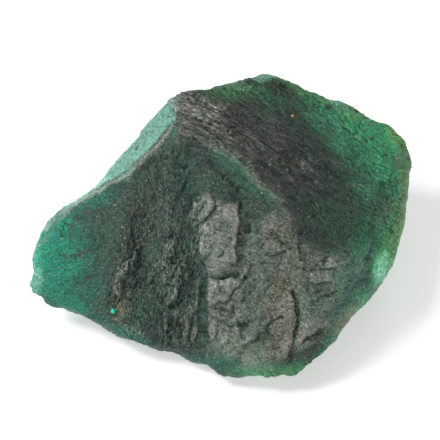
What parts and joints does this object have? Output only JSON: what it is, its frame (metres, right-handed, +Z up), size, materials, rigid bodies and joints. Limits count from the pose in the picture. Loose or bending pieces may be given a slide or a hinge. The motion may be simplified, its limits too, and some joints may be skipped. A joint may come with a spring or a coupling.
{
  "type": "raw emerald crystal",
  "caption": "Rough broken lump of green beryl with a ridged front, a sloping top, thin glowing edges and a small flat to rest on.",
  "frame": {"origin": "on the surface the stone rests on, under the middle of its bounding box", "axes": "+X along the length of the stone, away from its thin left tip; +Y to the tall back; +Z up"},
  "size_m": [0.0612, 0.0484, 0.0269],
  "materials": {
    "emerald": "rough broken beryl, dark green-grey inside, teal and lime at thin edges, soft sheen"
  },
  "bodies": {
    "root": {"emerald": "emerald"}
  },
  "joints": []
}
